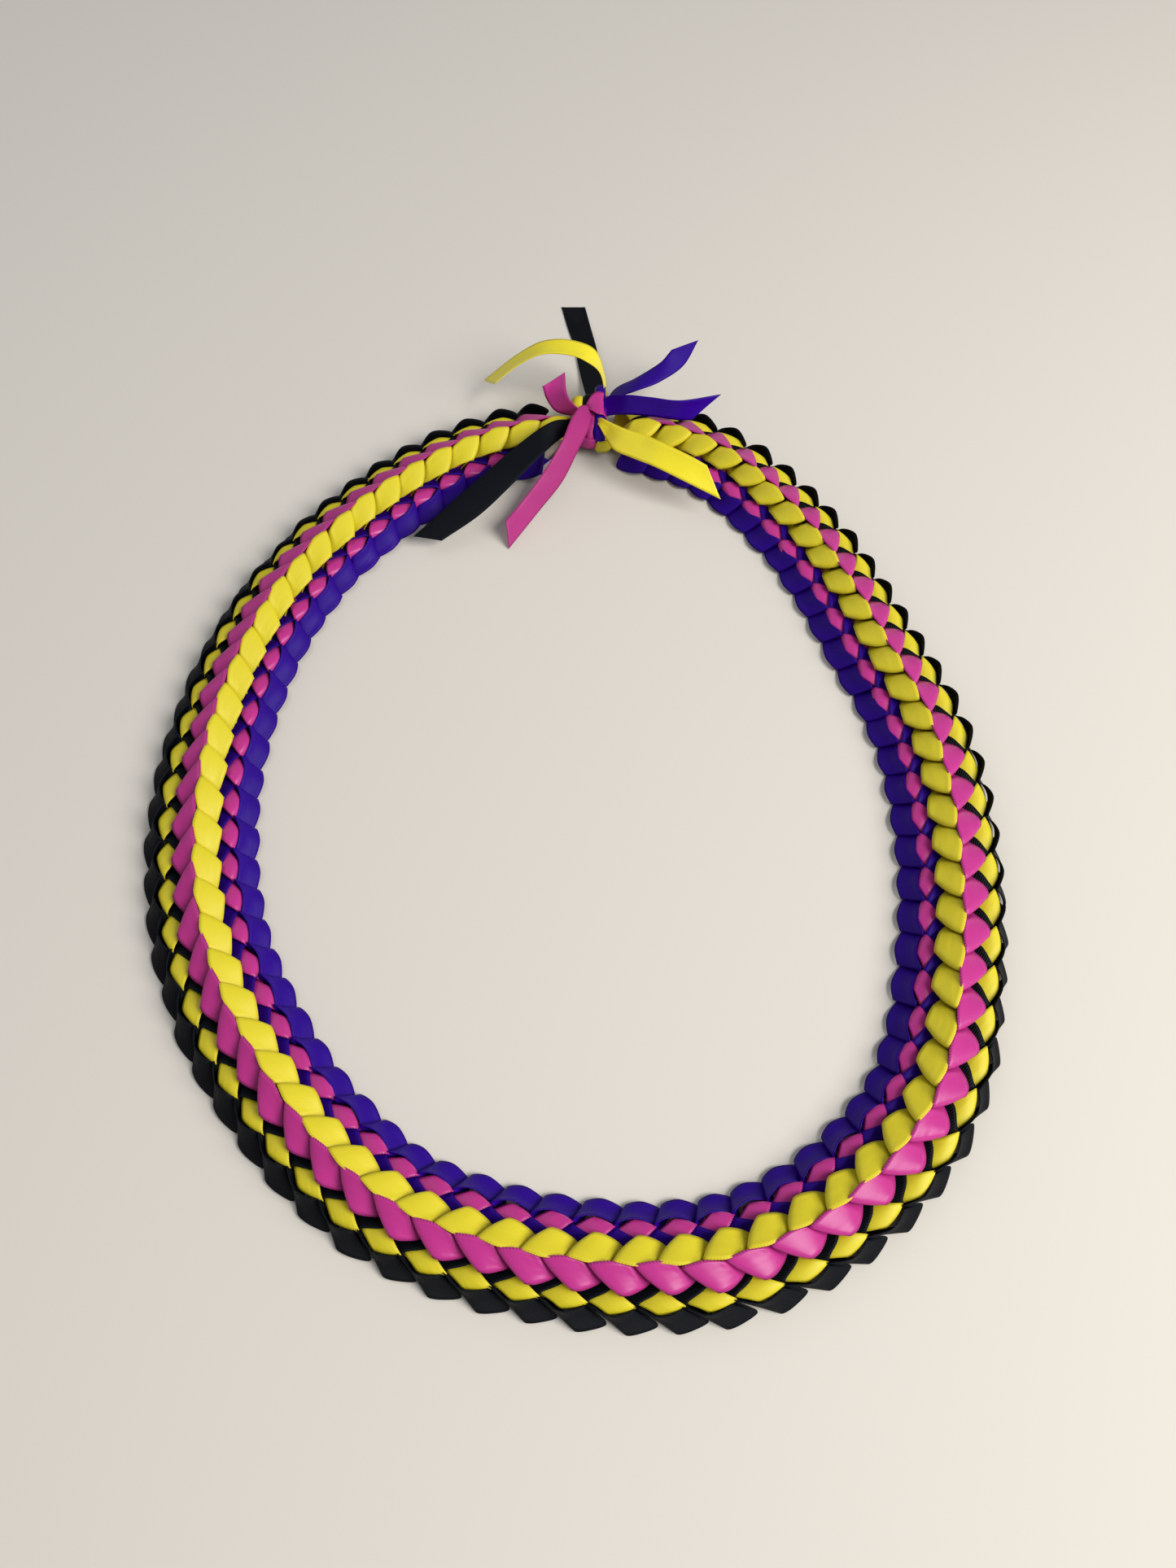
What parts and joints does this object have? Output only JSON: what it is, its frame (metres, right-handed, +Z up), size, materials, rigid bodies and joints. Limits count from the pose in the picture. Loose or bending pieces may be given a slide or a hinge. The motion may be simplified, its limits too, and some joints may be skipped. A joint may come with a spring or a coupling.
{
  "type": "ribbon lei",
  "caption": "Closed garland braided from coloured ribbons, with scallops along a raised ridge and its ribbon ends tied in a knot and left as loose tails; worn round the neck.",
  "frame": {"origin": "under the middle of the box round the whole lei, on the surface that it lies on", "axes": "+Z up from that surface, +Y towards the knot and the tails, which is the lei's long way"},
  "size_m": [0.288, 0.4178, 0.0276],
  "materials": {
    "yellow_ribbon": "satin weave, soft sheen",
    "black_ribbon": "grosgrain, ribbed and matt",
    "pink_ribbon": "satin weave, soft sheen",
    "purple_ribbon": "satin weave, soft sheen"
  },
  "bodies": {
    "root": {"black_arc_1": "black_ribbon", "black_arc_2": "black_ribbon", "black_arc_3": "black_ribbon", "black_arc_4": "black_ribbon", "black_arc_5": "black_ribbon", "black_arc_6": "black_ribbon", "black_arc_7": "black_ribbon", "black_tail_back": "black_ribbon", "black_tail_front": "black_ribbon", "pink_arc_1": "pink_ribbon", "pink_arc_2": "pink_ribbon", "pink_arc_3": "pink_ribbon", "pink_arc_4": "pink_ribbon", "pink_arc_5": "pink_ribbon", "pink_arc_6": "pink_ribbon", "pink_arc_7": "pink_ribbon", "pink_tail_back": "pink_ribbon", "pink_tail_front": "pink_ribbon", "pink_turn": "pink_ribbon", "purple_arc_1": "purple_ribbon", "purple_arc_2": "purple_ribbon", "purple_arc_3": "purple_ribbon", "purple_arc_4": "purple_ribbon", "purple_arc_5": "purple_ribbon", "purple_arc_6": "purple_ribbon", "purple_arc_7": "purple_ribbon", "purple_tail_back": "purple_ribbon", "purple_tail_right": "purple_ribbon", "purple_turn": "purple_ribbon", "yellow_arc_1": "yellow_ribbon", "yellow_arc_2": "yellow_ribbon", "yellow_arc_3": "yellow_ribbon", "yellow_arc_4": "yellow_ribbon", "yellow_arc_5": "yellow_ribbon", "yellow_arc_6": "yellow_ribbon", "yellow_arc_7": "yellow_ribbon", "yellow_tail_back": "yellow_ribbon", "yellow_tail_front": "yellow_ribbon", "yellow_turn": "yellow_ribbon"}
  },
  "joints": []
}
